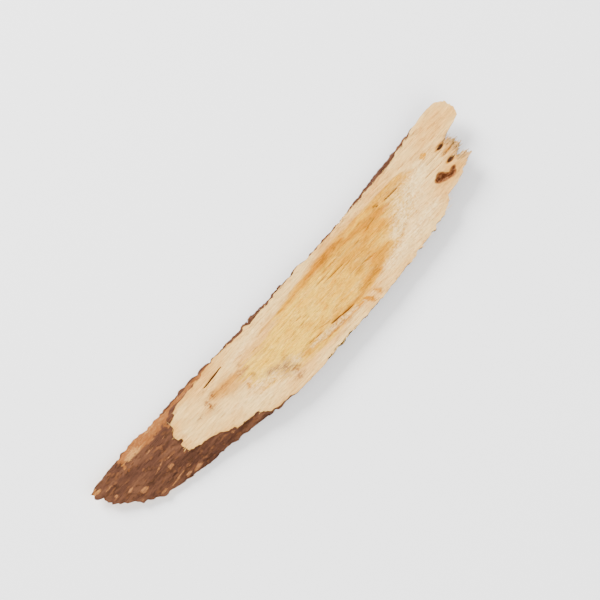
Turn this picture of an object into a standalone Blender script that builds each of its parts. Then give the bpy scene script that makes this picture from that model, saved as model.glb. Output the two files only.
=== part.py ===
# One slice of dried astragalus root, cut very obliquely, lying on its lower cut face.
# +X runs along the slice to its torn end, +Z points up, and the origin is under the middle of its box.
# The root's own axis leans from the cut faces by only a few degrees, so the bark shows as a long
# sloping crescent above at the -X end, and again underneath at the +X end.

import math

import bmesh
import bpy
from mathutils import Vector, noise

# Driving dimensions, in millimetres unless the name says otherwise
MM = 0.001
THICKNESS = 3.2
BARK_CRESCENT = 17.3
UPPER_HEART = (7.4, -1.1)
LOWER_HEART = (-9.9, -1.5)
BARK_LIP = 0.45
TORN_LIP = 0.9
PLAIN_LIP = 0.15

# The rim of the two cut faces: X, Y on the upper face, then X, Y on the lower face, counter-clockwise
RIM = [
    # long finger beside the torn end
    (47.3, 5.9, 30.4, 5.8),
    (47.0, 7.6, 29.7, 6.8),
    (45.3, 8.6, 27.4, 7.5),
    (42.3, 9.0, 24.3, 7.5),
    # straight side
    (38.3, 8.4, 19.6, 6.9),
    (31.9, 7.3, 13.1, 6.7),
    (21.8, 6.7, 3.1, 6.5),
    (7.4, 6.3, -11.3, 6.5),
    (-6.3, 5.9, -24.7, 6.5),
    (-14.9, 6.2, -33.3, 6.7),
    (-22.9, 5.4, -40.1, 6.4),
    # blunt bark end
    (-26.7, 4.8, -44.8, 6.1),
    (-28.6, 3.6, -46.6, 5.6),
    (-29.6, 1.4, -47.3, 4.4),
    (-29.2, 0.5, -46.5, 3.5),
    (-30.1, -0.4, -46.1, 2.6),
    (-29.2, -1.8, -45.2, 1.4),
    # swollen side, where the cut face widens in steps
    (-26.1, -2.8, -43.0, -1.1),
    (-22.6, -4.3, -40.2, -3.0),
    (-21.3, -5.2, -38.0, -4.0),
    (-16.9, -6.0, -34.4, -4.8),
    (-14.2, -7.4, -31.5, -5.4),
    (-9.2, -8.6, -27.2, -5.9),
    (-2.0, -8.8, -20.0, -6.6),
    (7.4, -8.5, -11.3, -8.0),
    (14.4, -8.2, -3.6, -8.2),
    (22.9, -7.4, 4.6, -7.6),
    (30.4, -6.6, 11.7, -6.4),
    (33.9, -5.5, 16.0, -5.2),
    (35.6, -4.4, 17.8, -4.1),
    (38.9, -3.7, 20.3, -2.9),
    # torn end, in splinters, up to the notch beside the finger
    (43.2, -2.2, 24.3, -0.6),
    (42.4, -1.1, 25.2, 0.8),
    (43.3, 0.1, 25.9, 1.7),
    (42.3, 1.1, 26.1, 2.2),
    (43.4, 2.0, 26.7, 2.8),
    (42.4, 3.2, 27.6, 3.6),
    (45.6, 4.2, 29.3, 4.2),
    (47.0, 4.9, 30.2, 4.9),
]

# Wrinkles that run along the bark
WRINKLE_DEPTH = 0.28
WRINKLES_PER_TURN = 34
WRINKLE_CHANGE = 0.7

# Wood at the heart of the upper cut face, proud of the groove left by the shrunken growth layer
WOOD_CENTRE = (8.0, -0.5)
WOOD_HALF_SIZE = (22.8, 5.4)
WOOD_TILT = math.radians(5.0)
WOOD_RISE = 0.12
GROOVE_DEPTH = 0.1
GROOVE_SPREAD = 0.14

# Slow unevenness that drying leaves in the upper face
WAVE_HEIGHT = 0.12
WAVE_LENGTH = 11.0

# The slice stands on three low flat places round its weight, and the rest of its underside is clear
LOW_PLACES = [(-20.0, 4.9), (17.0, 5.2), (-4.0, -6.6)]
LOW_PLACE_HALF_SIZE = (2.8, 0.8)
LOW_PLACE_SPREAD = 2.2
UNDERSIDE_CLEARANCE = 0.25

# Both ends have curled off the ground a little
STRAIGHT_HALF_LENGTH = 23.0
HALF_LENGTH = 47.3
END_LIFT = 1.3
END_TWIST = 0.03

# Hollow left by a rootlet near the torn end
PIT_OUTLINE = [
    (34.9, -1.1), (35.8, -0.6), (36.9, -0.7), (38.0, -1.6), (39.0, -1.3), (39.8, -1.4),
    (39.6, -2.0), (38.7, -2.6), (37.3, -2.5), (36.2, -2.1),
]
PIT_DEPTH = 0.65
PIT_TAPER = 0.75

# Mesh density
FACE_CELLS = 44
SPLINE_STEPS = 8

CUT_SINE = math.sin(math.atan2(THICKNESS, BARK_CRESCENT))

# Colours as linear red, green and blue
CORTEX = (0.79, 0.64, 0.46)
BARK = (0.23, 0.11, 0.06)


def clear_scene():
    for obj in list(bpy.data.objects):
        bpy.data.objects.remove(obj, do_unlink=True)


def new_collection(name):
    collection = bpy.data.collections.new(name)
    bpy.context.scene.collection.children.link(collection)
    return collection


def make_material(name, colour, roughness):
    material = bpy.data.materials.new(name)
    material.use_nodes = True
    shader = material.node_tree.nodes["Principled BSDF"]
    shader.inputs["Base Color"].default_value = (*colour, 1.0)
    shader.inputs["Roughness"].default_value = roughness
    shader.inputs["Metallic"].default_value = 0.0
    return material


def spline_point(before, start, end, after, t):
    """A point of a smooth curve through start and end (Catmull-Rom), at t from 0 to 1."""
    return tuple(
        0.5 * (2.0 * b + (c - a) * t + (2.0 * a - 5.0 * b + 4.0 * c - d) * t ** 2
               + (3.0 * b - a - 3.0 * c + d) * t ** 3)
        for a, b, c, d in zip(before, start, end, after))


def trace_rim():
    """The rim as a dense smooth loop, with each point's share of the way round the root."""
    count = len(RIM)
    loop = []
    for i in range(count):
        quad = [RIM[(i + shift) % count] for shift in (-1, 0, 1, 2)]
        for step in range(SPLINE_STEPS):
            loop.append(spline_point(*quad, step / SPLINE_STEPS))
    travelled = [0.0]
    for here, there in zip(loop, loop[1:] + loop[:1]):
        along = (there[0] - here[0]) * CUT_SINE
        travelled.append(travelled[-1] + math.hypot(along, there[1] - here[1]))
    shares = [distance / travelled[-1] for distance in travelled]
    return loop + [loop[0]], shares


def rim_at(rim, share):
    """The rim's upper X, Y and lower X, Y at a share of the way round, from 0 to 1."""
    loop, shares = rim
    i = 0
    while i < len(shares) - 2 and shares[i + 1] < share:
        i += 1
    t = (share - shares[i]) / (shares[i + 1] - shares[i])
    return [a + (b - a) * t for a, b in zip(loop[i], loop[i + 1])]


def wrinkle(turn, level):
    """How far the bark stands out at an angle round the root; level runs along the root."""
    spread = WRINKLES_PER_TURN / math.tau
    place = Vector((math.cos(turn) * spread, math.sin(turn) * spread, level * WRINKLE_CHANGE))
    return WRINKLE_DEPTH * noise.noise(place)


def face_point(heart, edge, turn, level, reach):
    """A point of one cut face, reach 0 at its heart and 1 on the bark."""
    across = Vector(((edge[0] - heart[0]) * CUT_SINE, edge[1] - heart[1]))
    across += across.normalized() * wrinkle(turn, level) * reach ** 6
    return Vector((heart[0] + across.x / CUT_SINE * reach, heart[1] + across.y * reach))


def relief(x, y):
    """Height of the upper cut face over a flat one: wood proud, a groove round it, slow waves."""
    east = x - WOOD_CENTRE[0]
    north = y - WOOD_CENTRE[1]
    along = east * math.cos(WOOD_TILT) + north * math.sin(WOOD_TILT)
    across = north * math.cos(WOOD_TILT) - east * math.sin(WOOD_TILT)
    from_wood = math.hypot(along / WOOD_HALF_SIZE[0], across / WOOD_HALF_SIZE[1])
    rise = WOOD_RISE * max(0.0, 1.0 - from_wood ** 2)
    groove = GROOVE_DEPTH * math.exp(-((from_wood - 1.0) / GROOVE_SPREAD) ** 2)
    wave = WAVE_HEIGHT * noise.noise(Vector((x / WAVE_LENGTH, y * 2.0 / WAVE_LENGTH, 0.0)))
    return rise - groove + wave


def lift(x, y):
    """How far the dried slice has curled off the ground at a place."""
    past = max(0.0, abs(x) - STRAIGHT_HALF_LENGTH) / (HALF_LENGTH - STRAIGHT_HALF_LENGTH)
    return (END_LIFT + END_TWIST * y) * past ** 2


def clearance(x, y):
    """How far the underside is above the low places that the slice stands on."""
    reach = min(math.hypot((x - low[0]) / LOW_PLACE_HALF_SIZE[0], (y - low[1]) / LOW_PLACE_HALF_SIZE[1])
                for low in LOW_PLACES)
    t = min(1.0, max(0.0, (reach - 1.0) / (LOW_PLACE_SPREAD - 1.0)))
    return UNDERSIDE_CLEARANCE * t * t * (3.0 - 2.0 * t)


def wall_levels(turn):
    """Share of the way up the bark, and height, of each ring of points from the lower face up."""
    towards_torn_end = 0.5 + 0.5 * math.cos(turn)
    lower_lip = BARK_LIP + (PLAIN_LIP - BARK_LIP) * towards_torn_end
    upper_lip = PLAIN_LIP + (TORN_LIP - PLAIN_LIP) * towards_torn_end
    top = THICKNESS - upper_lip
    return [(0.0, 0.0), (0.0, lower_lip), (0.5, 0.5 * (lower_lip + top)), (1.0, top), (1.0, THICKNESS)]


def place(corner, rim):
    """Where a point of the subdivided cube, from -1 to 1 each way, goes on the slice."""
    a, b, c = corner
    across = a * math.sqrt(1.0 - b * b / 2.0)
    up = b * math.sqrt(1.0 - a * a / 2.0)
    reach = min(1.0, math.hypot(across, up))
    turn = math.atan2(up, across) % math.tau
    edge = rim_at(rim, turn / math.tau)
    levels = wall_levels(turn)
    share, height = levels[round((c + 1.0) / 2.0 * (len(levels) - 1))]
    upper = face_point(UPPER_HEART, edge[:2], turn, 1.0, reach)
    lower = face_point(LOWER_HEART, edge[2:], turn, 0.0, reach)
    x, y = lower.lerp(upper, share)
    up_the_slice = height / THICKNESS
    height += relief(x, y) * share * up_the_slice + clearance(x, y) * (1.0 - up_the_slice)
    return Vector((x, y, height + lift(x, y)))


def grid_cube(cells):
    """A cube of the given number of cells each way, as a closed skin."""
    bm = bmesh.new()
    bmesh.ops.create_cube(bm, size=2.0)
    for axis, count in enumerate(cells):
        along = [e for e in bm.edges if abs(e.verts[0].co[axis] - e.verts[1].co[axis]) > 1.0]
        bmesh.ops.subdivide_edges(bm, edges=along, cuts=count - 1, use_grid_fill=True)
    return bm


def build_slice(collection, materials):
    """The slice as one closed body, bark on its wall and cortex and wood on its cut faces."""
    rim = trace_rim()
    bm = grid_cube((FACE_CELLS, FACE_CELLS, len(wall_levels(0.0)) - 1))
    for face in bm.faces:
        flat = all(abs(abs(v.co.z) - 1.0) < 0.001 for v in face.verts)
        same = len({round(v.co.z) for v in face.verts}) == 1
        face.material_index = 0 if flat and same else 1
    for vert in bm.verts:
        vert.co = place(vert.co, rim)
    low = [min(v.co[axis] for v in bm.verts) for axis in range(3)]
    high = [max(v.co[axis] for v in bm.verts) for axis in range(3)]
    middle = Vector(((low[0] + high[0]) / 2.0, (low[1] + high[1]) / 2.0, low[2]))
    for vert in bm.verts:
        vert.co = (vert.co - middle) * MM
    bmesh.ops.triangulate(bm, faces=bm.faces[:], quad_method="SHORT_EDGE")
    mesh = bpy.data.meshes.new("root_slice")
    bm.to_mesh(mesh)
    bm.free()
    for material in materials:
        mesh.materials.append(material)
    mesh.shade_smooth()
    mesh.set_sharp_from_angle(angle=math.radians(40.0))
    obj = bpy.data.objects.new("root_slice", mesh)
    collection.objects.link(obj)
    return obj, middle


def build_pit(collection, middle):
    """The tapering plug that the rootlet's hollow is cut with."""
    curve = bpy.data.curves.new("pit_outline", "CURVE")
    curve.dimensions = "2D"
    curve.fill_mode = "BOTH"
    curve.extrude = PIT_DEPTH * MM
    spline = curve.splines.new("POLY")
    spline.points.add(len(PIT_OUTLINE) - 1)
    for point, (x, y) in zip(spline.points, PIT_OUTLINE):
        point.co = ((x - middle.x) * MM, (y - middle.y) * MM, 0.0, 1.0)
    spline.use_cyclic_u = True
    outline = bpy.data.objects.new("pit_outline", curve)
    collection.objects.link(outline)
    evaluated = outline.evaluated_get(bpy.context.evaluated_depsgraph_get())
    mesh = bpy.data.meshes.new_from_object(evaluated)
    bpy.data.objects.remove(outline, do_unlink=True)
    bm = bmesh.new()
    bm.from_mesh(mesh)
    bmesh.ops.remove_doubles(bm, verts=bm.verts[:], dist=0.00001)
    heart = sum((v.co for v in bm.verts), Vector()) / len(bm.verts)
    surface = THICKNESS + lift(heart.x / MM, heart.y / MM)
    for vert in bm.verts:
        if vert.co.z < 0.0:
            vert.co.x = heart.x + (vert.co.x - heart.x) * PIT_TAPER
            vert.co.y = heart.y + (vert.co.y - heart.y) * PIT_TAPER
        vert.co.z += surface * MM
    bm.to_mesh(mesh)
    bm.free()
    cutter = bpy.data.objects.new("pit_cutter", mesh)
    cutter.hide_render = True
    cutter.display_type = "WIRE"
    collection.objects.link(cutter)
    return cutter


def main():
    clear_scene()
    parts = new_collection("astragalus_root")
    cutters = new_collection("cutters")
    cut_face = make_material("dried_root_cut_face", CORTEX, 0.8)
    bark = make_material("wrinkled_root_bark", BARK, 0.9)
    root_slice, middle = build_slice(parts, (cut_face, bark))
    cutter = build_pit(cutters, middle)
    hollow = root_slice.modifiers.new("rootlet_hollow", "BOOLEAN")
    hollow.operation = "DIFFERENCE"
    hollow.solver = "EXACT"
    hollow.object = cutter


main()
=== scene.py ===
import math
import random

import bmesh
import bpy
import numpy as np
from mathutils import Matrix, Vector, noise


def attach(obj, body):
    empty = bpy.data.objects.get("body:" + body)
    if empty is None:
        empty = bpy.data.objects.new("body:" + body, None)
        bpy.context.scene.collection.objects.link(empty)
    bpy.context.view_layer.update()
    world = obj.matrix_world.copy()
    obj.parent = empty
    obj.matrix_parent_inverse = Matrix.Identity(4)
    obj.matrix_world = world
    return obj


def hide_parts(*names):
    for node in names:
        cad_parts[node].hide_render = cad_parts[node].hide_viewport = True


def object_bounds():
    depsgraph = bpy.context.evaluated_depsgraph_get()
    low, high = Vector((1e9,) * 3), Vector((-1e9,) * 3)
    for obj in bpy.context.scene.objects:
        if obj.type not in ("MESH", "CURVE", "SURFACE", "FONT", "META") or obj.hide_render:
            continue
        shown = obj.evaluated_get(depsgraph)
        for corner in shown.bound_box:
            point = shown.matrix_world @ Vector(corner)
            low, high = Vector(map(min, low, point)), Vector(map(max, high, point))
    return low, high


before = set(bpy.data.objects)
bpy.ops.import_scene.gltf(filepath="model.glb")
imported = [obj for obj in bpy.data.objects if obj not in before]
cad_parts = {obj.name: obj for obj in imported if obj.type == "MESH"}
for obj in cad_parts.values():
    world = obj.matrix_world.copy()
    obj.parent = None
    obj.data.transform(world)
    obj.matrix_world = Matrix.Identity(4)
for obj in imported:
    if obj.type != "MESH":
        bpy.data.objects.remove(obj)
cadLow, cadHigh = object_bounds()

# A slice of dried astragalus root, cut very obliquely, seen from above on a pale floor.
# Shapes are worked out in millimetres, and become metres when their points go into a mesh.
mm = 0.001

# Settings that many nodes share
mixed = {"kind": "ShaderNodeMix", "data_type": "RGBA", "output": 2}
shaded = {**mixed, "blend_type": "MULTIPLY"}
eased = {"kind": "ShaderNodeMapRange", "interpolation_type": "SMOOTHSTEP"}
plus = {"kind": "ShaderNodeMath", "operation": "ADD"}
times = {"kind": "ShaderNodeMath", "operation": "MULTIPLY"}
timesPlus = {"kind": "ShaderNodeMath", "operation": "MULTIPLY_ADD"}


# sRGB hex to linear red, green, blue and alpha
def hexColour(text):
    parts = [int(text[i:i + 2], 16) / 255.0 for i in (1, 3, 5)]
    return tuple(c / 12.92 if c <= 0.04045 else ((c + 0.055) / 1.055) ** 2.4 for c in parts) + (1.0,)


# Adds a node with its settings, sets or links its inputs, and gives one of its outputs
def addNode(tree, kind, inputs=None, output=0, **settings):
    node = tree.nodes.new(kind)
    for name, value in settings.items():
        setattr(node, name, value)
    for key, value in (inputs or {}).items():
        if isinstance(value, bpy.types.NodeSocket):
            tree.links.new(value, node.inputs[key])
        else:
            node.inputs[key].default_value = value
    return node.outputs[output] if len(node.outputs) else None


def smooth(low, high, value):
    t = np.clip((value - low) / (high - low), 0.0, 1.0)
    return t * t * (3.0 - 2.0 * t)


def noiseAt(x, y, z=0.0):
    x, y, z = np.broadcast_arrays(x, y, z)
    return np.array([noise.noise(p) for p in zip(x.tolist(), y.tolist(), z.tolist())])


def readPlaces(mesh):
    flat = np.zeros(len(mesh.vertices) * 3)
    mesh.vertices.foreach_get("co", flat)
    return flat.reshape(-1, 3)


# Puts points in metres into a mesh, none of them outside the CAD's box
def writePlaces(mesh, places):
    inside = np.clip(places, np.array(cadLow), np.array(cadHigh))
    mesh.vertices.foreach_set("co", inside.ravel())
    mesh.update()


# The slice itself
rootSlice = {
    "thickness": 3.2,
    "barkCrescent": 17.3,              # how far the two cut faces are apart along the slice
    "upperHeart": (7.4, -1.1),         # the root's middle on the upper face, and on the lower one
    "lowerHeart": (-9.9, -1.5),
    "barkLip": 0.45,                   # thickness left at the feather edge of the bark end
    "tornLip": 0.9,                    # and at the torn end
    "plainLip": 0.15,
    "wrinkles": ((34, 0.28, 0.7), (83, 0.17, 2.2), (176, 0.1, 7.0)),   # per turn, depth, change along
    "endWrinkles": 0.4,                # share of them that shows at the two ends of the cut faces
    "woodCentre": (8.0, -0.5),
    "woodHalfLengths": (19.8, 23.4),   # from its centre to the bark end and to the torn end
    "woodHalfWidth": 5.4,
    "woodTilt": 5.0,                   # degrees
    "woodRise": 0.12,
    "grooveDepth": 0.1,                # the growth layer dries lower than what is on both sides of it
    "grooveSpread": 0.14,
    "lowPlaces": ((-20.0, 4.9), (17.0, 5.2), (-4.0, -6.6)),
    "lowPlaceHalfSize": (2.8, 0.8),
    "lowPlaceSpread": 2.2,
    "undersideClearance": 0.25,
    "undersideShift": 60.0,            # the underside's grain is another stretch of the upper one
    "undersideGrain": 0.5,
    "straightHalfLength": 23.0,        # past it the slice lifts
    "halfLength": 47.3,
    "endLift": 1.3,
    "endTwist": 0.03,
    "fibreDepth": 0.07,
    "holeWander": 0.09,                # how far the fibres push holes and gaps aside
    "gapWander": 0.15,
    "crumbDepth": 0.035,
    "pitDepth": 0.9,
    "pitWall": 0.75,
    "pitLip": 0.08,
    "fibreFree": (37.3, -1.6, 5.2, 2.6),   # no loose fibres here, round the pit: centre and half size
    "barkDepth": 0.22,
    "barkGrain": ((4.5, 0.85, 0.0), (2.2, 0.4, 7.0), (0.5, 0.3, 0.0)),     # folds, ridges and crumbs
    "scarHeight": 0.16,
    "peelDepth": 0.14,
    "faceCells": (200, 130),
    "lipRings": (2, 4),
    "barkRings": 48,
    "splineSteps": 8,
    "uneven": {                        # amount, size along and across, and where the noise is read
        "waves": ((0.12, 11.0, 5.5, 0.0),),
        "fibres": ((1.0, 3.0, 0.3, 5.0),),
        "crumbs": ((1.0, 0.55, 0.55, 31.0),),
        "teethAlong": ((0.55, 1.0, 0.8, 61.0),),       # the broken edge of the bark
        "teethAcross": ((0.4, 1.1, 0.7, 63.0),),
        "wanderAlong": ((0.35, 1.25, 0.5, 3.0), (0.2, 0.4, 0.2, 9.0)),     # how marks leave their lines
        "wanderAcross": ((0.14, 1.25, 0.5, 17.0), (0.1, 1 / 3, 0.2, 23.0)),
        "fray": ((3.2, 7.0, 0.55, 41.0), (1.6, 3.0, 0.28, 43.0)),          # the wood's edge
        "pitEdge": ((0.25, 0.8, 0.4, 51.0),),
    },
    "cutGrain": {                      # size along, across and through, detail and roughness
        "fibres": ((6.25, 0.4545, 1.0), 5.0, 0.6),
        "fineFibres": ((2.0, 0.1667, 1.0), 3.0, 0.6),
        "clouds": ((10.0, 3.571, 3.333), 4.0, 0.55),
        "crumbs": ((0.5, 0.2941, 0.5), 4.0, 0.7),
        "blotches": ((2.941, 1.333, 2.0), 4.0, 0.6),
    },
    "cutColours": {
        "cortex": "#EDB25E",
        "cortexPale": "#F8CC7E",
        "cortexWarm": "#DDA250",
        "wood": "#FFC83E",
        "woodDeep": "#E49808",
        "woodPale": "#FFD268",
        "stain": "#C27800",
        "streak": "#A06A20",
        "specksAndShade": "#884E24",
        # brown specks, and painted shade among the torn end's fibres and in its holes
        "chalk": "#FFDA96",
        # painted shade: dark brown laid into the cracks, holes and gaps
        "crackShade": "#64422A",
        # the rootlet's hollow, brown with painted shade: lighter at its rim, darkest inside, with lighter
        # crumbs on its floor
        "pitRim": "#94602E",
        "pitBrownAndShade": "#5A2E14",
        "pitFloor": "#94623E",
    },
    "barkPatterns": {
        "streaks": ((3.333, 0.3846, 0.3846), 5.0, 0.6),
        "scales": ((0.625, 0.25, 0.25), 4.0, 0.7),
        "patches": ((8.333, 1.25, 1.25), 4.0, 0.5),
        "furrows": ((1.818, 0.1429, 0.1429), 3.0, 0.6),
    },
    "barkColours": {
        "bark": "#553526",
        "barkDark": "#3E281B",
        "barkLight": "#724A32",
        "scar": "#A86E40",
        "peel": "#8C542A",
        "peelPale": "#BC8648",
    },
}

cutAngle = math.atan2(rootSlice["thickness"], rootSlice["barkCrescent"])
cutSine = math.sin(cutAngle)

# The rim: X, Y on the upper face, then X, Y on the lower face, counter-clockwise from the finger's tip
rimPoints = [
    (47.3, 5.9, 30.4, 5.8),        # finger
    (47.0, 7.6, 29.7, 6.8),
    (45.3, 8.6, 27.4, 7.5),
    (42.3, 9.0, 24.3, 7.5),
    (38.3, 8.4, 19.6, 6.9),        # straight side
    (31.9, 7.3, 13.1, 6.7),
    (21.8, 6.7, 3.1, 6.5),
    (7.4, 6.3, -11.3, 6.5),
    (-6.3, 5.9, -24.7, 6.5),
    (-14.9, 6.2, -33.3, 6.7),
    (-22.9, 5.4, -40.1, 6.4),
    (-26.7, 4.8, -44.8, 6.1),      # bark end
    (-28.6, 3.6, -46.6, 5.6),
    (-29.6, 1.4, -47.3, 4.4),
    (-29.2, 0.5, -46.5, 3.5),
    (-30.1, -0.4, -46.1, 2.6),
    (-29.2, -1.8, -45.2, 1.4),
    (-26.1, -2.8, -43.0, -1.1),    # swollen side, widening in steps
    (-22.6, -4.3, -40.2, -3.0),
    (-21.3, -5.2, -38.0, -4.0),
    (-16.9, -6.0, -34.4, -4.8),
    (-14.2, -7.4, -31.5, -5.4),
    (-9.2, -8.6, -27.2, -5.9),
    (-2.0, -8.8, -20.0, -6.6),
    (7.4, -8.5, -11.3, -8.0),
    (14.4, -8.2, -3.6, -8.2),
    (22.9, -7.4, 4.6, -7.6),
    (30.4, -6.6, 11.7, -6.4),
    (33.9, -5.5, 16.0, -5.2),
    (35.6, -4.4, 17.8, -4.1),
    (38.9, -3.7, 20.3, -2.9),
    (42.4, -2.3, 24.3, -0.6),      # torn end, up to the notch beside the finger
    (42.8, -1.4, 24.8, 0.3),
    (41.8, -0.4, 25.4, 1.0),
    (43.1, 0.5, 25.9, 1.7),
    (42.4, 1.35, 26.3, 2.3),
    (43.0, 2.1, 26.8, 2.9),
    (42.2, 3.2, 27.6, 3.6),
    (45.6, 4.2, 29.3, 4.2),
    (47.0, 4.9, 30.2, 4.9),
]

# The hollow that a rootlet left near the torn end, on the upper face
pitOutline = [
    (35.1, -1.3), (36.0, -0.5), (37.1, -0.45), (37.6, -1.0), (38.2, -1.7), (38.7, -1.4),
    (39.4, -1.3), (39.8, -1.6), (39.4, -2.3), (38.5, -2.7), (37.4, -2.5), (36.2, -2.0),
]

# What the cut left on the upper face, and among the specks the painted shade at the torn end: lines are
# x, y, x, y, width and strength, and spots are x, y, half length, half width and strength
faceMarks = {
    "woodSpots": [
        (37.2, 3.9, 0.85, 0.65, 0.45),
        (28.0, 3.6, 6.5, 1.4, 0.42),
        (-13.2, 0.9, 3.6, 1.9, 0.24),
        (-17.0, 1.5, 2.8, 0.7, 0.32),
        (-11.6, -1.3, 2.0, 0.7, 0.2),
    ],
    "holes": [
        (40.5, 2.7, 0.8, 0.36, 0.75),
        (40.3, 1.25, 0.6, 0.24, 0.35),
        (40.15, -0.2, 0.8, 0.38, 0.75),
    ],
    "cracks": [
        (-20.0, 3.82, -15.4, 4.25, 0.36, 0.62),
        (3.8, -4.85, 6.0, -5.05, 0.42, 0.42),
        (6.2, -5.15, 8.8, -5.35, 0.36, 0.38),
        (1.8, -3.9, 4.2, -4.4, 0.26, 0.25),
        (26.6, 3.45, 29.8, 3.3, 0.28, 0.42),
        (31.8, 5.4, 34.4, 5.35, 0.22, 0.2),
        (-20.6, 3.4, -17.4, 3.55, 0.26, 0.18),
        (6.3, 1.75, 10.3, 1.8, 0.24, 0.18),
        (8.6, 1.1, 13.2, 1.0, 0.26, 0.27),
        (7.4, 2.5, 13.0, 2.55, 0.24, 0.18),
        (-0.2, 0.1, 1.2, 0.0, 0.28, 0.28),
        (11.6, 0.35, 16.0, 0.6, 0.2, 0.16),
        (-3.4, -1.2, 2.2, -1.0, 0.2, 0.2),
        (15.2, -1.5, 18.4, -1.9, 0.22, 0.22),
        (19.2, 2.0, 23.5, 2.6, 0.2, 0.15),
        (-2.2, -4.3, 2.0, -4.75, 0.24, 0.3),
        (24.3, 4.1, 25.2, 3.4, 0.28, 0.4),
        (36.4, 2.1, 40.2, 2.1, 0.2, 0.26),
        (34.6, 0.7, 38.8, 0.55, 0.2, 0.24),
    ],
    "gaps": [
        (40.6, 2.9, 43.0, 3.15, 0.4, 0.4),
        (40.6, 1.3, 43.2, 1.35, 0.4, 0.4),
        (40.2, -0.2, 42.8, -0.35, 0.5, 0.5),
        (41.2, 2.1, 43.4, 2.25, 0.25, 0.3),
        (41.2, 0.55, 43.4, 0.5, 0.25, 0.3),
        (41.0, -1.2, 43.4, -1.35, 0.3, 0.35),
    ],
    "stains": [
        (-7.5, 3.3, 3.0, 3.7, 0.5, 0.45),
        (-1.0, 3.3, 10.0, 4.1, 1.3, 0.7),
        (6.0, 4.0, 16.5, 4.4, 2.1, 1.0),
        (11.0, 1.4, 19.0, 1.0, 4.6, 0.42),
        (11.5, 4.3, 13.5, 4.2, 1.6, 0.9),
        (14.0, 4.6, 21.5, 4.9, 0.9, 0.7),
        (15.0, 3.6, 26.5, 2.5, 1.6, 0.9),
        (8.0, 3.9, 17.0, 4.2, 2.0, 0.6),
        (1.4, -6.0, 10.6, -6.3, 0.75, 1.3),
        (-4.5, -5.0, 3.0, -5.5, 1.5, 0.6),
        (3.0, -5.3, 12.5, -5.2, 1.0, 0.85),
        (12.0, -4.6, 19.0, -3.7, 1.8, 0.7),
        (11.6, -6.0, 11.7, -7.6, 1.1, 1.5),
        (13.8, -6.2, 13.8, -7.5, 1.0, 1.0),
        (8.5, 2.4, 13.8, 2.5, 0.35, 0.7),
        (6.8, 1.75, 10.5, 1.75, 0.3, 0.6),
        (8.8, 1.1, 14.0, 0.9, 0.4, 0.8),
        (13.0, -0.6, 20.0, -2.6, 4.2, 0.46),
        (-14.1, -1.3, -13.9, -2.3, 1.1, 1.0),
        (-20.5, 1.7, -14.8, 1.2, 2.6, 0.72),
        (-18.5, 0.2, -14.5, -0.3, 1.6, 0.55),
        (20.0, 3.9, 26.0, 2.6, 1.0, 0.8),
        (23.0, 4.3, 32.0, 3.9, 1.6, 0.34),
        (36.8, 3.95, 37.7, 3.85, 1.3, 0.6),
        (39.4, 2.8, 43.4, 2.7, 1.3, 0.75),
        (39.4, 1.3, 43.4, 1.4, 1.2, 0.85),
        (39.0, -0.2, 43.4, -0.4, 1.3, 0.8),
        (41.4, 2.4, 43.6, -1.6, 2.4, 0.5),
        (35.0, -1.6, 40.0, -1.9, 3.4, 0.45),
    ],
    "chalk": [
        (-1.5, -5.0, 9.5, -6.0, 1.0, 0.7),
        (-9.4, -2.6, -6.4, -6.4, 1.2, 0.8),
        (-14.0, -2.6, -4.5, -4.9, 2.6, 0.75),
        (-14.5, 3.4, -4.0, 4.6, 1.5, 0.6),
        (-21.0, -1.8, -12.0, -5.2, 2.6, 0.5),
        (23.5, -2.2, 35.0, 2.4, 5.6, 1.0),
        (19.0, -5.2, 32.5, -3.6, 3.4, 0.95),
    ],
    "specksAndShade": [
        (-24.0, 0.6, 1.3, 0.35, 0.8),
        (-21.6, 1.0, 0.6, 1.2, 1.15),
        (-20.0, 1.9, 1.1, 0.7, 1.0),
        (-17.4, 1.5, 1.0, 0.4, 0.9),
        (-13.9, 0.8, 0.8, 0.9, 0.85),
        (-12.8, 2.1, 0.4, 0.6, 0.6),
        (-12.3, -0.9, 0.5, 0.7, 0.7),
        (-9.8, -2.7, 1.3, 0.5, 0.85),
        (-8.5, -3.3, 1.2, 0.9, 0.75),
        (-6.5, -2.8, 1.2, 0.4, 0.75),
        (-7.6, -4.4, 1.3, 1.1, 0.85),
        (-6.4, -5.6, 1.1, 1.2, 0.85),
        (-6.8, -7.0, 1.2, 0.9, 0.75),
        (24.6, 4.0, 0.6, 0.5, 0.5),
        (29.2, 3.45, 0.35, 0.25, 0.8),
        # painted shade: the wide speck over the torn end and the three on its holes
        (42.7, 0.5, 1.3, 2.6, 1.1),
        (41.0, 1.3, 0.8, 0.25, 0.6),
        (40.6, 2.75, 1.0, 0.45, 0.8),
        (40.2, -0.2, 0.9, 0.45, 0.8),
    ],
}

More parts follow.
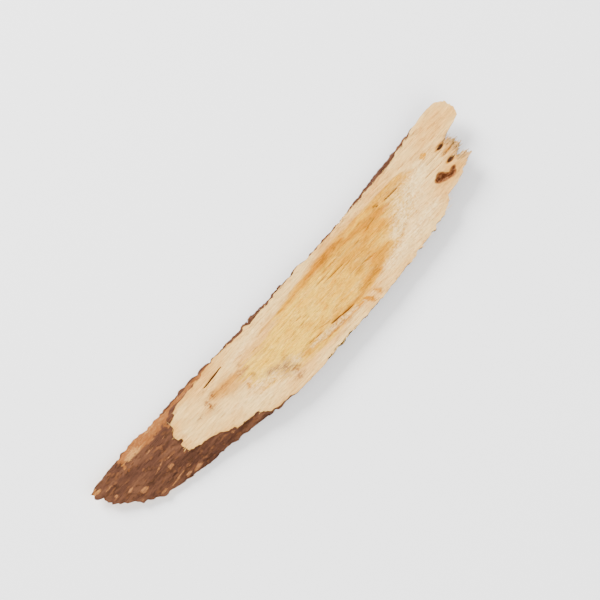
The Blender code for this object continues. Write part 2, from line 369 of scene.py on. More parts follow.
# Pale corky scars and the peeled strip on the bark, as seen from above
barkMarks = {
    "scars": [
        (-41.8, 0.95, 0.68, 0.33, 0.88),
        (-40.2, -0.75, 0.98, 0.41, 1.10),
        (-33.9, -1.35, 0.69, 0.39, 0.99),
        (-34.3, 3.25, 1.45, 0.21, 0.66),
        (-31.0, 3.05, 0.41, 0.21, 0.66),
        (-38.0, -3.45, 1.03, 0.26, 0.88),
        (-31.7, -3.45, 0.31, 0.21, 0.88),
        (-32.7, -4.55, 0.57, 0.33, 1.21),
        (-30.7, -4.90, 1.13, 0.35, 1.10),
        (-22.1, -5.15, 0.51, 0.27, 0.66),
        (-44.2, 3.95, 1.03, 0.27, 0.77),
        (-44.5, 2.05, 0.41, 0.21, 0.88),
        (-41.6, -1.85, 0.36, 0.25, 0.66),
    ],
    "scarLines": [
        (-37.0, -0.35, -34.7, 0.2, 0.34, 0.7),
        (-34.7, 0.2, -32.2, -0.1, 0.34, 0.7),
        (-36.4, -3.9, -32.8, -3.5, 0.36, 0.85),
    ],
    "peel": [
        (-39.6, 5.7, -28.0, 5.6, 2.9, 1.0),
        (-39.8, 5.9, -39.7, 3.4, 0.5, 0.9),
        (-29.1, 5.3, -29.3, 3.6, 0.7, 0.9),
        (-29.5, 5.9, -15.5, 6.1, 0.9, 0.8),
        (-47.0, 5.2, -45.6, 5.0, 1.3, 0.8),
    ],
    "peelPale": [
        (-38.8, 5.0, -35.6, 5.0, 1.9, 1.0),
        (-33.0, 6.1, -30.6, 6.0, 0.8, 0.5),
        (-47.2, 5.2, -45.6, 5.0, 0.9, 0.7),
    ],
}


# A dense smooth loop through the corners, as rows
def smoothLoop(corners, steps):
    points = np.array(corners)
    before, ahead, after = (np.roll(points, shift, axis=0) for shift in (1, -1, -2))
    loop = []
    for i in range(len(points)):
        a, b, c, d = before[i], points[i], ahead[i], after[i]
        for t in np.arange(steps) / steps:
            loop.append(0.5 * (2 * b + (c - a) * t + (2 * a - 5 * b + 4 * c - d) * t ** 2
                               + (3 * b - a - 3 * c + d) * t ** 3))
    return np.array(loop)


# The rim as a dense smooth loop, and each point's share of the way round the root
def traceRim():
    loop = smoothLoop(rimPoints, rootSlice["splineSteps"])
    loop = np.vstack([loop, loop[:1]])
    steps = np.diff(loop, axis=0)
    travelled = np.concatenate([[0.0], np.cumsum(np.hypot(steps[:, 0] * cutSine, steps[:, 1]))])
    return loop, travelled / travelled[-1]


# The share of the way along a line, and the distance from it
def nearestOn(x, y, x0, y0, x1, y1):
    dx, dy = x1 - x0, y1 - y0
    t = np.clip(((x - x0) * dx + (y - y0) * dy) / (dx * dx + dy * dy), 0.0, 1.0)
    return t, np.hypot(x - x0 - t * dx, y - y0 - t * dy)


# Distance inside a closed outline, negative outside it
def insideOutline(x, y, outline):
    distance = np.full_like(x, 1e9)
    inside = np.zeros(x.shape, dtype=bool)
    loop = smoothLoop(outline, 4)
    for (x0, y0), (x1, y1) in zip(loop, np.roll(loop, -1, axis=0)):
        distance = np.minimum(distance, nearestOn(x, y, x0, y0, x1, y1)[1])
        if y1 != y0:
            inside ^= ((y0 > y) != (y1 > y)) & (x < x0 + (y - y0) * (x1 - x0) / (y1 - y0))
    return np.where(inside, distance, -distance)


# The strength on a line, falling off beside it and tapering to both ends
def nearLine(x, y, line):
    *ends, width, strength = line
    t, off = nearestOn(x, y, *ends)
    taper = 0.45 + 0.55 * np.sin(math.pi * t)
    return strength * np.exp(-(off / (0.5 * width * taper)) ** 2)


# The same, but widening from a point at its first end
def nearWedge(x, y, line):
    *ends, width, strength = line
    t, off = nearestOn(x, y, *ends)
    taper = 0.12 + 0.88 * t
    beside = np.exp(-(off / (0.5 * width * taper)) ** 2)
    return strength * np.minimum(1.0, 1.5 * beside) * smooth(0.0, 0.3, t)


def nearSpot(x, y, spot):
    x0, y0, halfLength, halfWidth, strength = spot
    return strength * np.exp(-(((x - x0) / halfLength) ** 2 + ((y - y0) / halfWidth) ** 2) ** 1.5)


def strongest(x, y, shape, marks):
    total = np.zeros(x.shape)
    for mark in marks:
        total = np.maximum(total, shape(x, y, mark))
    return total


def uneven(name, x, y):
    return sum(amount * noiseAt(x / length, y / width, level)
               for amount, length, width, level in rootSlice["uneven"][name])


# How far the bark stands out at an angle round the root, from broad folds to fine ones
def wrinkled(turn, level):
    total = np.zeros_like(turn)
    for perTurn, depth, change in rootSlice["wrinkles"]:
        spread = perTurn / math.tau
        total += depth * noiseAt(np.cos(turn) * spread, np.sin(turn) * spread, level * change)
    return total


# 0 at the heart of the wood and 1 at the growth layer round it
def woodReach(x, y):
    tilt = math.radians(rootSlice["woodTilt"])
    east, north = x - rootSlice["woodCentre"][0], y - rootSlice["woodCentre"][1]
    along = east * math.cos(tilt) + north * math.sin(tilt)
    across = north * math.cos(tilt) - east * math.sin(tilt)
    halfLength = np.where(along < 0.0, *rootSlice["woodHalfLengths"])
    return np.hypot(along / halfLength, across / rootSlice["woodHalfWidth"])


# Height of the upper cut face over a flat one
def upperRelief(x, y):
    reach = woodReach(x, y)
    rise = rootSlice["woodRise"] * np.maximum(0.0, 1.0 - reach ** 2)
    groove = rootSlice["grooveDepth"] * np.exp(-((reach - 1.0) / rootSlice["grooveSpread"]) ** 2)
    return rise - groove + uneven("waves", x, y)


# How far drying has lifted the two ends
def lift(x, y):
    start = rootSlice["straightHalfLength"]
    past = np.maximum(0.0, np.abs(x) - start) / (rootSlice["halfLength"] - start)
    return (rootSlice["endLift"] + rootSlice["endTwist"] * y) * past ** 2


# How far the underside is above the three low places
def clearance(x, y):
    halfLength, halfWidth = rootSlice["lowPlaceHalfSize"]
    reach = np.min([np.hypot((x - lowX) / halfLength, (y - lowY) / halfWidth)
                    for lowX, lowY in rootSlice["lowPlaces"]], axis=0)
    return rootSlice["undersideClearance"] * smooth(1.0, rootSlice["lowPlaceSpread"], reach)


# Fibres that the knife left standing, the rootlet's hollow, and the slits, holes and gaps
def cutRelief(x, y):
    fibres, crumbs = uneven("fibres", x, y), uneven("crumbs", x, y)
    relief = rootSlice["fibreDepth"] * fibres
    relief += rootSlice["crumbDepth"] * crumbs * smooth(0.9, 1.1, woodReach(x, y))
    inside = insideOutline(x, y, pitOutline) + 0.12 * crumbs
    relief -= rootSlice["pitDepth"] * smooth(-0.05, rootSlice["pitWall"], inside) * (1.0 + 0.5 * fibres)
    relief += rootSlice["pitLip"] * np.exp(-((inside + 0.25) / 0.25) ** 2)
    relief -= strongest(x, y, nearLine, faceMarks["cracks"])
    relief -= strongest(x, y + rootSlice["holeWander"] * fibres, nearSpot, faceMarks["holes"])
    relief -= strongest(x, y + rootSlice["gapWander"] * fibres, nearWedge, faceMarks["gaps"])
    return relief


# Folds along the root, raised scars and the sunken strip where the cork has peeled off
def barkRelief(x, y, z):
    folds, ridges, crumbs = (noiseAt(x / length, y / width, z / width + level)
                             for length, width, level in rootSlice["barkGrain"])
    rough = folds + 0.5 * (1.0 - 2.0 * np.abs(ridges)) + 0.25 * crumbs
    scars = np.maximum(strongest(x, y, nearSpot, barkMarks["scars"]),
                       strongest(x, y, nearLine, barkMarks["scarLines"]))
    peeled = smooth(0.3, 0.6, strongest(x, y, nearLine, barkMarks["peel"]))
    relief = rootSlice["barkDepth"] * rough * (1.0 - 0.7 * peeled)
    return relief + rootSlice["scarHeight"] * scars - rootSlice["peelDepth"] * peeled


# A closed cube of cells, one layer of them for each ring of bark: its mesh, and each point's ring, share
# of the way from the root's heart to its rim, and angle round the root
def layGrid():
    cells = (*rootSlice["faceCells"], sum(rootSlice["lipRings"]) + rootSlice["barkRings"])
    bm = bmesh.new()
    bmesh.ops.create_cube(bm, size=2.0)
    for axis, count in enumerate(cells):
        along = [e for e in bm.edges if abs(e.verts[0].co[axis] - e.verts[1].co[axis]) > 1.0]
        bmesh.ops.subdivide_edges(bm, edges=along, cuts=count - 1, use_grid_fill=True)
    mesh = bpy.data.meshes.new("root_slice_skin")
    bm.to_mesh(mesh)
    bm.free()
    a, b, c = readPlaces(mesh).T
    across = a * np.sqrt(1.0 - b * b / 2.0)
    up = b * np.sqrt(1.0 - a * a / 2.0)
    reach = np.minimum(1.0, np.hypot(across, up))
    return mesh, np.rint((c + 1.0) / 2.0 * cells[2]), reach, np.arctan2(up, across) % math.tau


# Each point's share of the way up the bark, and its height, with thin lips at the edges of the faces
def ringHeights(ring, tornSide):
    lowerLips, upperLips = rootSlice["lipRings"]
    barkRings, thickness = rootSlice["barkRings"], rootSlice["thickness"]
    lowerLip = rootSlice["barkLip"] + (rootSlice["plainLip"] - rootSlice["barkLip"]) * tornSide
    upperLip = rootSlice["plainLip"] + (rootSlice["tornLip"] - rootSlice["plainLip"]) * tornSide
    share = np.clip((ring - lowerLips) / barkRings, 0.0, 1.0)
    height = np.where(ring <= lowerLips, lowerLip * ring / lowerLips,
                      lowerLip + (thickness - upperLip - lowerLip) * share)
    aboveLip = (ring - lowerLips - barkRings) / upperLips
    return share, np.where(aboveLip > 0.0, thickness - upperLip * (1.0 - aboveLip), height)


# Points of one cut face, reach 0 at its heart and 1 on the bark
def facePoints(heart, edgeX, edgeY, turn, level, reach):
    acrossX, acrossY = (edgeX - heart[0]) * cutSine, edgeY - heart[1]
    radius = np.hypot(acrossX, acrossY)
    fold = wrinkled(turn, level) * reach ** 12 / radius
    x = heart[0] + acrossX * reach * (1.0 + rootSlice["endWrinkles"] * fold) / cutSine
    return x, heart[1] + acrossY * reach * (1.0 + fold)


# The slice as one closed mesh, material 0 on its cut faces and 1 on its bark
def shapeBody():
    mesh, ring, reach, turn = layGrid()
    rings = ring.max()
    tornSide = 0.5 + 0.5 * np.cos(turn)            # 0 at the bark end and 1 at the torn end
    share, height = ringHeights(ring, tornSide)
    loop, shares = traceRim()
    edge = [np.interp(turn / math.tau, shares, loop[:, k]) for k in range(4)]
    upperX, upperY = facePoints(rootSlice["upperHeart"], edge[0], edge[1], turn, share, reach)
    lowerX, lowerY = facePoints(rootSlice["lowerHeart"], edge[2], edge[3], turn, share, reach)
    x = lowerX + (upperX - lowerX) * share
    y = lowerY + (upperY - lowerY) * share
    nearRim = smooth(0.88, 1.0, reach)
    x, y = x + nearRim * uneven("teethAlong", x, y), y + nearRim * uneven("teethAcross", x, y)

    upSlice = height / rootSlice["thickness"]
    z = height + upperRelief(x, y) * share * upSlice + clearance(x, y) * (1.0 - upSlice) + lift(x, y)
    middle = np.array([(x.min() + x.max()) / 2.0, (y.min() + y.max()) / 2.0, z.min()])
    onTop, onUnder = ring == rings, ring == 0
    upBark = np.clip((ring - 1.0) / (rings - 2.0), 0.0, 1.0)
    onBark = np.where(onTop | onUnder, 0.0, np.sin(math.pi * upBark) ** 0.5)
    underGrain = rootSlice["undersideGrain"] * cutRelief(x + rootSlice["undersideShift"], y)
    z += np.where(onTop, cutRelief(x, y), np.where(onUnder, -underGrain, 0.0))

    tornSign = np.where(tornSide > 0.5, 1.0, -1.0)
    lean = np.abs(np.cos(turn))
    outward = np.stack([cutSine * tornSign * lean, np.sin(turn), -tornSign * lean], axis=1)
    outward /= np.linalg.norm(outward, axis=1, keepdims=True)
    stand = barkRelief(x, y, z) * onBark
    writePlaces(mesh, (np.stack([x, y, z], axis=1) + outward * stand[:, None] - middle) * mm)
    kinds = np.zeros(len(mesh.polygons), dtype=np.int32)
    for i, polygon in enumerate(mesh.polygons):
        levels = ring[list(polygon.vertices)]
        kinds[i] = 0 if levels.min() == levels.max() else 1
    mesh.polygons.foreach_set("material_index", kinds)
    return mesh, middle, reach, onTop.astype(float), onBark


# Values at each point that the materials and the loose pieces read
def paintBody(mesh, middle, reach, onTop, onBark):
    x, y, z = (readPlaces(mesh) / mm + middle).T
    fibreX = x + (rootSlice["thickness"] - (z - lift(x, y))) / math.tan(cutAngle)   # on the upper face
    alongX, acrossY = uneven("wanderAlong", x, y), uneven("wanderAcross", x, y)
    fray = uneven("fray", x, y)
    gap = strongest(x, y, nearWedge, faceMarks["gaps"])
    hole = strongest(x, y, nearSpot, faceMarks["holes"])
    peel = strongest(x + alongX * 1.5, y + acrossY * 2.5, nearLine, barkMarks["peel"])
    freeX, freeY, freeHalfLength, freeHalfWidth = rootSlice["fibreFree"]
    nearPit = smooth(1.0, 0.6, np.hypot((x - freeX) / freeHalfLength, (y - freeY) / freeHalfWidth))
    outside = np.max([np.abs(y) - 8.3, np.abs(x - 4.0) - 40.0], axis=0)             # of where fibres fit
    tornEnd = smooth(40.5, 42.0, x) * smooth(3.6, 3.0, y) * smooth(0.25, 0.05, hole)
    underBark = 0.34 * smooth(0.955, 1.0, reach) * smooth(14.0, -18.0, x)           # a tan line
    values = {
        "woodReach": (0.95 * woodReach(fibreX + fray, y + 0.3 + acrossY)
                      - strongest(x + alongX, y + acrossY, nearSpot, faceMarks["woodSpots"])),
        "fibreDensity": onTop * (1.0 - nearPit) * smooth(0.2, -0.6, outside),
        "tornDensity": onTop * smooth(0.93, 0.985, reach) * tornEnd,
        "rimDensity": (onTop * smooth(0.95, 0.99, reach) * smooth(8.5, 8.0, np.abs(y))
                       * smooth(41.0, 40.0, x)),
        "flakeDensity": (onBark * smooth(8.6, 8.2, np.abs(y)) * smooth(-45.5, -44.5, x)
                         * smooth(0.4, 0.1, peel)),
        "stain": np.maximum(strongest(fibreX + alongX, y + acrossY, nearLine, faceMarks["stains"]),
                            onTop * underBark),
        # brown specks, and painted shade at the torn end
        "specksAndShade": strongest(x + alongX, y + acrossY, nearSpot, faceMarks["specksAndShade"]),
        "chalk": strongest(fibreX + alongX * 2.0, y + acrossY * 2.0, nearLine, faceMarks["chalk"]),
        "deep": smooth(-2.0, 18.0, fibreX + 2.0 * fray),
        # painted shade: where the dark brown of the cracks, holes and gaps goes
        "crackShade": onTop * np.max([
            strongest(x, y, nearLine, faceMarks["cracks"]), 0.6 * gap, hole], axis=0),
        # painted shade: how far inside the rootlet's hollow, for its dark brown
        "pitBrownAndShade": onTop * smooth(-0.3, 0.5, insideOutline(x, y, pitOutline) + uneven("pitEdge", x, y)),
        "scar": np.maximum(strongest(x + alongX, y + acrossY, nearSpot, barkMarks["scars"]),
                           strongest(x, y + acrossY, nearLine, barkMarks["scarLines"])),
        "peel": peel,
        "peelPale": strongest(x + alongX * 1.5, y + acrossY * 2.0, nearLine, barkMarks["peelPale"]),
    }
    for name, numbers in values.items():
        attribute = mesh.attributes.new(name, "FLOAT", "POINT")
        attribute.data.foreach_set("value", numbers.astype(np.float32))


# Dried plant matter scatters nearly all its light, so its gloss is low
def newMaterial(name, roughness, gloss=0.1):
    material = bpy.data.materials.new(name)
    material.use_nodes = True
    shader = material.node_tree.nodes["Principled BSDF"]
    shader.inputs["Roughness"].default_value = roughness
    shader.inputs["Specular IOR Level"].default_value = gloss
    return material, material.node_tree, shader


# Noise with features of a real size in mm, along, across and through the piece, turned by a tilt
def grainNoise(tree, size, detail, roughness, tilt=0.0):
    place = addNode(tree, "ShaderNodeMapping", {
        "Vector": addNode(tree, "ShaderNodeTexCoord", output="Object"),
        "Rotation": (0.0, -tilt, 0.0),
        "Scale": tuple(side * mm for side in size)}, vector_type="TEXTURE")
    return addNode(tree, "ShaderNodeTexNoise", {
        "Vector": place, "Scale": 1.0, "Detail": detail, "Roughness": roughness})


# Lays colours over a base in turn, each one as its value goes from one number to the other, up to a share
def layColours(tree, colour, layers):
    for value, start, full, share, over in layers:
        amount = addNode(tree, inputs={
            "Value": value, "From Min": start, "From Max": full, "To Max": share}, **eased)
        colour = addNode(tree, inputs={0: amount, 6: colour, 7: over}, **mixed)
    return colour


# Dried root cut with a blade. The eye gets a matt, fibrous face, cream cortex round yellow wood that
# deepens to orange, and a darker line between them. Its single fibres are 0.02 to 0.05 mm wide, too fine
# to show, so they are drawn as bundles of 0.17 and 0.45 mm.
def cutMaterial():
    material, tree, shader = newMaterial("dried_root_knife_cut", 0.85)
    paint = {name: hexColour(text) for name, text in rootSlice["cutColours"].items()}
    grain = {name: grainNoise(tree, *values) for name, values in rootSlice["cutGrain"].items()}
    marks = {name: addNode(tree, "ShaderNodeAttribute", output="Fac", attribute_name=name)
             for name in ("woodReach", "stain", "specksAndShade", "chalk", "deep", "crackShade", "pitBrownAndShade")}

    edge = addNode(tree, inputs={0: grain["fibres"], 1: 0.35, 2: marks["woodReach"]}, **timesPlus)
    inWood = addNode(tree, inputs={"Value": edge, "From Min": 1.205, "From Max": 1.075}, **eased)
    cortex = layColours(tree, paint["cortex"], [
        (grain["clouds"], 0.35, 0.65, 1.0, paint["cortexPale"]),
        (grain["fibres"], 0.5, 0.75, 0.4, paint["cortexWarm"]),
        (grain["blotches"], 0.53, 0.68, 0.3, paint["cortexWarm"])])
    cloudy = addNode(tree, inputs={
        "Value": grain["clouds"], "From Min": 0.42, "From Max": 0.66, "To Max": 0.45}, **eased)
    deepened = addNode(tree, inputs={0: marks["deep"], 1: 0.55, 2: cloudy}, **timesPlus)
    wood = addNode(tree, inputs={0: deepened, 6: paint["wood"], 7: paint["woodDeep"]}, **mixed)
    wood = layColours(tree, wood, [
        (grain["fibres"], 0.48, 0.3, 0.55, paint["woodPale"]),
        (grain["blotches"], 0.49, 0.34, 0.4, paint["woodPale"]),
        (grain["blotches"], 0.5, 0.66, 0.5, paint["woodDeep"])])
    colour = addNode(tree, inputs={0: inWood, 6: cortex, 7: wood}, **mixed)
    streakShare = addNode(tree, inputs={0: inWood, 1: 0.75}, **times)
    colour = layColours(tree, colour, [(grain["fineFibres"], 0.55, 0.7, streakShare, paint["streak"])])

    # The growth layer is a line where the edge of the wood passes 1.125, and stains follow the fibres
    past = addNode(tree, "ShaderNodeMath", {0: edge, 1: 1.125}, operation="SUBTRACT")
    away = addNode(tree, "ShaderNodeMath", {0: past}, operation="ABSOLUTE")
    ring = addNode(tree, "ShaderNodeMapRange", {
        "Value": away, "From Min": 0.1, "From Max": 0.0, "To Max": 0.3})
    soaked = addNode(tree, inputs={
        "Value": grain["fibres"], "From Min": 0.05, "From Max": 0.42, "To Max": marks["stain"]}, **eased)
    stained = addNode(tree, "ShaderNodeMath", {0: ring, 1: soaked}, operation="MAXIMUM")
    colour = addNode(tree, inputs={0: stained, 6: colour, 7: paint["stain"]}, **mixed)
    colour = layColours(tree, colour, [
        (grain["crumbs"], 0.3, 0.6, marks["chalk"], paint["chalk"]),
        # brown specks, and painted shade at the torn end
        (grain["crumbs"], 0.38, 0.58, marks["specksAndShade"], paint["specksAndShade"])])

    coarse = addNode(tree, inputs={0: grain["crumbs"], 1: 0.4}, **times)
    lines = addNode(tree, inputs={0: grain["fineFibres"], 1: 0.6, 2: coarse}, **timesPlus)
    shade = addNode(tree, "ShaderNodeMapRange", {
        "Value": lines, "From Min": 0.36, "From Max": 0.62, "To Min": 0.56, "To Max": 1.06})
    shadeShare = addNode(tree, inputs={0: inWood, 1: 0.4, 2: 0.55}, **timesPlus)
    colour = addNode(tree, inputs={0: shadeShare, 6: colour, 7: shade}, **shaded)
    # the rootlet's hollow: brown with painted shade, darker inside than at its rim
    pitInsideBrownAndShade = layColours(tree, paint["pitBrownAndShade"], [(grain["crumbs"], 0.46, 0.6, 1.0, paint["pitFloor"])])
    colour = layColours(tree, colour, [
        # painted shade in the cracks, holes and gaps
        (marks["crackShade"], 0.1, 0.45, 1.0, paint["crackShade"]),
        (marks["pitBrownAndShade"], 0.08, 0.3, 1.0, paint["pitRim"]),
        (marks["pitBrownAndShade"], 0.3, 0.8, 1.0, pitInsideBrownAndShade)])
    tree.links.new(colour, shader.inputs["Base Color"])
    height = addNode(tree, inputs={0: lines, 1: grain["fibres"]}, **plus)
    bump = addNode(tree, "ShaderNodeBump", {"Height": height, "Strength": 0.8, "Distance": 0.3 * mm})
    tree.links.new(bump, shader.inputs["Normal"])
    return material


# Cork bark, wrinkled by drying. The eye gets a rough matt brown with dark furrows along the root, pale
# corky scars across it, and a tan strip where the cork has peeled off.
def barkMaterial():
    material, tree, shader = newMaterial("dried_root_cork_bark", 0.9)
    paint = {name: hexColour(text) for name, text in rootSlice["barkColours"].items()}
    grain = {name: grainNoise(tree, *values, tilt=cutAngle)
             for name, values in rootSlice["barkPatterns"].items()}
    ragged = {}        # marks with their edges broken up by the scales of the bark
    for name, spread in (("peel", 0.35), ("peelPale", 4.0), ("scar", 1.5)):
        mark = addNode(tree, "ShaderNodeAttribute", output="Fac", attribute_name=name)
        ragged[name] = addNode(tree, inputs={0: grain["scales"], 1: spread, 2: mark}, **timesPlus)

    colour = layColours(tree, paint["bark"], [
        (grain["patches"], 0.42, 0.7, 0.75, paint["barkLight"]),
        (grain["streaks"], 0.44, 0.3, 0.7, paint["barkDark"]),
        (grain["furrows"], 0.46, 0.34, 0.5, paint["barkDark"]),
        (grain["furrows"], 0.58, 0.72, 0.5, paint["barkLight"])])
    paleStreaks = addNode(tree, inputs={
        "Value": grain["streaks"], "From Min": 0.5, "From Max": 0.75, "To Max": 0.4}, **eased)
    paleSpots = addNode(tree, inputs={
        "Value": ragged["peelPale"], "From Min": 2.05, "From Max": 3.25}, **eased)
    paleShare = addNode(tree, inputs={0: paleStreaks, 1: paleSpots}, **plus)
    inner = addNode(tree, inputs={0: paleShare, 6: paint["peel"], 7: paint["peelPale"]}, **mixed)
    scar = layColours(tree, paint["scar"], [(grain["furrows"], 0.53, 0.38, 0.55, paint["bark"])])
    colour = layColours(tree, colour, [
        (ragged["peel"], 0.515, 0.735, 1.0, inner),
        (ragged["scar"], 1.05, 1.5, 1.0, scar)])
    tree.links.new(colour, shader.inputs["Base Color"])
    rough = addNode(tree, inputs={0: grain["streaks"], 1: grain["furrows"]}, **plus)
    height = addNode(tree, inputs={0: grain["scales"], 1: 0.5, 2: rough}, **timesPlus)
    bump = addNode(tree, "ShaderNodeBump", {"Height": height, "Strength": 0.8, "Distance": 0.4 * mm})
    tree.links.new(bump, shader.inputs["Normal"])
    return material


def finishPiece(obj):
    bpy.context.scene.collection.objects.link(obj)
    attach(obj, "root")
    return obj


print("shaping the slice")
bodyMesh, *bodyValues = shapeBody()
print("marking and colouring its cut faces and bark")
paintBody(bodyMesh, *bodyValues)
bodyMesh.materials.append(cutMaterial())
bodyMesh.materials.append(barkMaterial())
bodyMesh.shade_smooth()
bodyMesh.set_sharp_from_angle(angle=math.radians(50.0))
body = finishPiece(bpy.data.objects.new("root_slice_skin", bodyMesh))
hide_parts("root_slice")

# Loose fibres and flakes of cork, each one small shape repeated over the slice. In every dictionary the
# shape is in millimetres, Density is per square metre, Shortest and Longest multiply the shape's length,
# Yaw and Pitch are radians, and Sink is millimetres into the surface.
cutFaceFibres = {
    "shape": {"length": 1.0, "radius": 0.045, "rise": 0.06, "sides": 3, "segments": 4},
    "where": "fibreDensity",
    "inputs": {"Density": 1.5e6, "Seed": 4, "Shortest": 0.7, "Longest": 3.2, "Yaw": 0.12, "Pitch": 0.05,
               "Sink": 0.01},
}
tornEndSplinters = {
    "shape": {"length": 1.0, "radius": 0.12, "rise": 0.08, "sides": 5, "segments": 4},
    "where": "tornDensity",
    "inputs": {"Density": 1.2e7, "Seed": 9, "Shortest": 0.8, "Longest": 2.0, "Yaw": 0.1, "Pitch": 0.08,
               "Sink": 0.1},
    "colours": ("#D0A468", "#94703C"),
}
rimFibres = {
    "shape": cutFaceFibres["shape"],
    "where": "rimDensity",
    "inputs": {"Density": 4.0e6, "Seed": 12, "Shortest": 0.35, "Longest": 1.1, "Yaw": 0.9, "Pitch": 0.2,
               "Sink": 0.02},
}
barkFlakes = {
    "shape": {"halfLength": 0.45, "halfWidth": 0.2, "thickness": 0.05, "corners": 7},
    "where": "flakeDensity",
    "inputs": {"Density": 0.9e6, "Seed": 21, "Shortest": 0.6, "Longest": 2.2, "Yaw": 0.25, "Pitch": 0.16,
               "Sink": 0.02},
    "colours": ("#452B1C", "#6A4229"),
}


# A thin closed strand along X, tapering to both ends and bending up a little
def strandMesh(form):
    sides, segments = form["sides"], form["segments"]
    points, faces = [], []
    for i in range(segments + 1):
        t = i / segments
        radius = form["radius"] * (0.35 + 0.65 * math.sin(math.pi * min(1.0, t * 0.85 + 0.15)))
        for k in range(sides):
            angle = math.tau * k / sides
            points.append(((t - 0.3) * form["length"] * mm, radius * math.cos(angle) * mm,
                           (radius * math.sin(angle) + form["rise"] * t * t) * mm))
    for i in range(segments):
        for k in range(sides):
            a, b = i * sides + k, i * sides + (k + 1) % sides
            faces.append((a, a + sides, b + sides, b))
    faces.append(tuple(range(sides)))
    faces.append(tuple(reversed(range(segments * sides, (segments + 1) * sides))))
    mesh = bpy.data.meshes.new("strand")
    mesh.from_pydata(points, [], faces)
    return mesh


# A thin closed scale with an uneven outline
def flakeMesh(form):
    rng = random.Random(6)
    corners = form["corners"]
    reaches = [rng.uniform(0.7, 1.1) for _ in range(corners)]
    points = []
    for z in (0.0, form["thickness"]):
        for k, reach in enumerate(reaches):
            angle = math.tau * k / corners
            points.append((form["halfLength"] * reach * math.cos(angle) * mm,
                           form["halfWidth"] * reach * math.sin(angle) * mm, z * mm))
    faces = [(k, (k + 1) % corners, (k + 1) % corners + corners, k + corners) for k in range(corners)]
    faces += [tuple(reversed(range(corners))), tuple(range(corners, 2 * corners))]
    mesh = bpy.data.meshes.new("flake")
    mesh.from_pydata(points, [], faces)
    return mesh


# Places a small shape over a mesh, as densely as one of the mesh's own attributes says
def scatterTree(values, shape, material):
    tree = bpy.data.node_groups.new(values["where"], "GeometryNodeTree")
    tree.interface.new_socket(name="Geometry", in_out="INPUT", socket_type="NodeSocketGeometry")
    for key in values["inputs"]:
        kind = "NodeSocketInt" if key == "Seed" else "NodeSocketFloat"
        tree.interface.new_socket(name=key, in_out="INPUT", socket_type=kind)
    tree.interface.new_socket(name="Geometry", in_out="OUTPUT", socket_type="NodeSocketGeometry")
    given = addNode(tree, "NodeGroupInput").node.outputs
    local = addNode(tree, "GeometryNodeInputNamedAttribute", {"Name": values["where"]}, data_type="FLOAT")
    points = addNode(tree, "GeometryNodeDistributePointsOnFaces", {
        "Mesh": given["Geometry"], "Seed": given["Seed"],
        "Density": addNode(tree, inputs={0: local, 1: given["Density"]}, **times)}, output="Points")
    level = addNode(tree, "FunctionNodeAlignRotationToVector", {
        "Rotation": points.node.outputs["Rotation"], "Vector": (1.0, 0.0, 0.0)}, axis="X", pivot_axis="Z")
    most = addNode(tree, "ShaderNodeCombineXYZ", {"Y": given["Pitch"], "Z": given["Yaw"]})
    least = addNode(tree, "ShaderNodeVectorMath", {0: most, "Scale": -1.0}, operation="SCALE")
    turned = addNode(tree, "FunctionNodeRandomValue", {
        0: least, 1: most, "Seed": 1}, data_type="FLOAT_VECTOR")
    rotation = addNode(tree, "FunctionNodeRotateRotation", {
        "Rotation": level, "Rotate By": addNode(tree, "FunctionNodeEulerToRotation", {0: turned})},
        rotation_space="LOCAL")
    length = addNode(tree, "FunctionNodeRandomValue", {
        2: given["Shortest"], 3: given["Longest"], "Seed": 2}, output=1, data_type="FLOAT")
    girth = addNode(tree, "FunctionNodeRandomValue", {
        2: 0.6, 3: 1.3, "Seed": 3}, output=1, data_type="FLOAT")
    placed = addNode(tree, "GeometryNodeInstanceOnPoints", {
        "Points": points,
        "Instance": addNode(tree, "GeometryNodeObjectInfo", {"Object": shape}, output="Geometry"),
        "Rotation": rotation,
        "Scale": addNode(tree, "ShaderNodeCombineXYZ", {"X": length, "Y": girth, "Z": girth})})
    sink = addNode(tree, "ShaderNodeCombineXYZ", {
        "Z": addNode(tree, inputs={0: given["Sink"], 1: -mm}, **times)})
    moved = addNode(tree, "GeometryNodeTranslateInstances", {
        "Instances": placed, "Translation": sink, "Local Space": True})
    real = addNode(tree, "GeometryNodeRealizeInstances", {"Geometry": moved})
    done = addNode(tree, "GeometryNodeSetMaterial", {"Geometry": real, "Material": material})
    addNode(tree, "NodeGroupOutput", {"Geometry": done})
    return tree


def scatterPiece(name, values, mesh, material):
    shape = bpy.data.objects.new(name + "_shape", mesh)
    tree = scatterTree(values, shape, material)
    piece = bpy.data.objects.new(name, bodyMesh)
    bpy.context.scene.collection.objects.link(piece)
    modifier = piece.modifiers.new(name, "NODES")
    modifier.node_group = tree
    for item in tree.interface.items_tree:
        if item.in_out == "INPUT" and item.name in values["inputs"]:
            modifier[item.identifier] = values["inputs"][item.name]
    depsgraph = bpy.context.evaluated_depsgraph_get()
    made = bpy.data.meshes.new_from_object(piece.evaluated_get(depsgraph))
    piece.modifiers.clear()
    bpy.context.scene.collection.objects.unlink(piece)
    piece.data = made
    bpy.data.objects.remove(shape)
    bpy.data.node_groups.remove(tree)
    writePlaces(made, readPlaces(made))
    print(name, len(made.polygons), "faces")
    return finishPiece(piece)


# Fibre or cork that has come loose. The eye gets matt threads or scales whose colour changes along them.
def looseMaterial(name, colours):
    material, tree, shader = newMaterial(name, 0.9)
    first, second = (hexColour(text) for text in colours)
    mottle = grainNoise(tree, (2.0, 0.5, 0.5), 3.0, 0.5)
    colour = layColours(tree, first, [(mottle, 0.35, 0.65, 1.0, second)])
    tree.links.new(colour, shader.inputs["Base Color"])
    return material


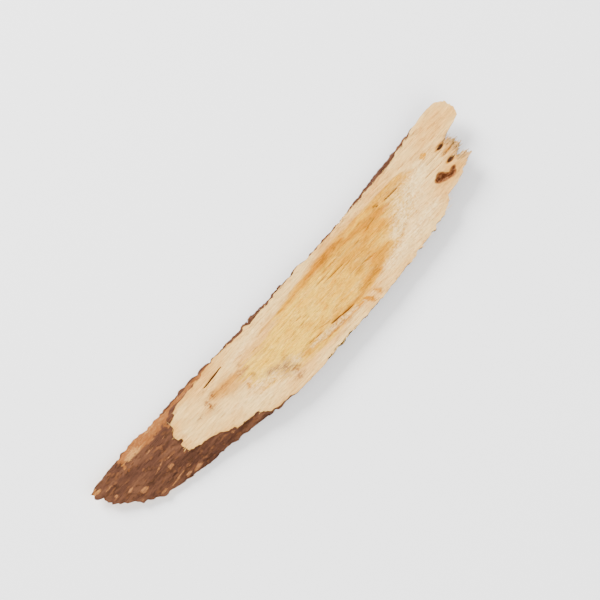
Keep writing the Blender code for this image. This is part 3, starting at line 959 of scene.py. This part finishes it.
print("scattering fibres and flakes")
splintered = looseMaterial("dried_root_loose_fibre", tornEndSplinters["colours"])
cork = looseMaterial("dried_root_cork_flakes", barkFlakes["colours"])
cutFace = bodyMesh.materials[0]
scatterPiece("cut_face_fibres", cutFaceFibres, strandMesh(cutFaceFibres["shape"]), cutFace)
scatterPiece("torn_end_splinters", tornEndSplinters, strandMesh(tornEndSplinters["shape"]), splintered)
scatterPiece("rim_fibres", rimFibres, strandMesh(rimFibres["shape"]), cutFace)
scatterPiece("bark_flakes", barkFlakes, flakeMesh(barkFlakes["shape"]), cork)

# Floor, lights and camera, in metres and degrees
studio = {
    "floorColour": "#FFFFFF",
    "floorHalfWidth": 2.0,
    "floorDrop": 0.00002,
    "lights": {                        # place, width and watts
        "key": ((-0.45, 0.4, 0.42), 0.35, 14.4),
        "fill": ((0.4, -0.4, 0.55), 0.8, 8.0),
    },
    "skyStrength": 1.1,
    "turn": 46.9,                      # by which +X is turned up from the picture's right
    "tilt": 7.0,                       # from straight down
    "lens": 85.0,                      # millimetres, as is the sensor
    "sensor": 36.0,
    "clipStart": 0.005,
    "pictureWidth": 0.108,             # across the picture at the slice
    "pictureSize": 600.0,              # pixels
    "slicePlace": (297.0, 322.0),      # pixel of the slice's middle
}


# A matt white paper floor, which gives a soft shadow and no reflection
def layFloor():
    floorMesh = bpy.data.meshes.new("floor")
    bm = bmesh.new()
    bmesh.ops.create_grid(bm, x_segments=1, y_segments=1, size=studio["floorHalfWidth"])
    bm.to_mesh(floorMesh)
    bm.free()
    floor = bpy.data.objects.new("floor", floorMesh)
    floor.location.z = -studio["floorDrop"]
    bpy.context.scene.collection.objects.link(floor)
    material, tree, shader = newMaterial("matt_white_paper", 0.9)
    shader.inputs["Base Color"].default_value = hexColour(studio["floorColour"])
    floorMesh.materials.append(material)


def hangLights(turn):
    for name, (place, size, watts) in studio["lights"].items():
        data = bpy.data.lights.new(name, "AREA")
        data.shape = "SQUARE"
        data.size = size
        data.energy = watts
        lamp = bpy.data.objects.new(name, data)
        spot = Matrix.Rotation(turn, 4, "Z") @ Vector(place)
        lamp.location = spot
        lamp.rotation_euler = (-spot).to_track_quat("-Z", "Y").to_euler()
        bpy.context.scene.collection.objects.link(lamp)
    world = bpy.data.worlds.new("studio")
    world.use_nodes = True
    sky = world.node_tree.nodes["Background"]
    sky.inputs["Color"].default_value = (1.0, 1.0, 1.0, 1.0)
    sky.inputs["Strength"].default_value = studio["skyStrength"]
    bpy.context.scene.world = world


def placeCamera(turn):
    data = bpy.data.cameras.new("camera")
    data.lens = studio["lens"]
    data.sensor_width = studio["sensor"]
    data.clip_start = studio["clipStart"]
    camera = bpy.data.objects.new("camera", data)
    distance = studio["pictureWidth"] * data.lens / data.sensor_width
    camera.rotation_euler = (math.radians(studio["tilt"]), 0.0, turn)
    aim = camera.rotation_euler.to_matrix()
    perPixel = studio["pictureWidth"] / studio["pictureSize"]
    shiftX = (studio["pictureSize"] / 2.0 - studio["slicePlace"][0]) * perPixel
    shiftY = (studio["slicePlace"][1] - studio["pictureSize"] / 2.0) * perPixel
    camera.location = aim @ Vector((shiftX, shiftY, distance))
    bpy.context.scene.collection.objects.link(camera)
    bpy.context.scene.camera = camera


print("setting the floor, lights and camera")
layFloor()
hangLights(math.radians(-studio["turn"]))
placeCamera(math.radians(-studio["turn"]))
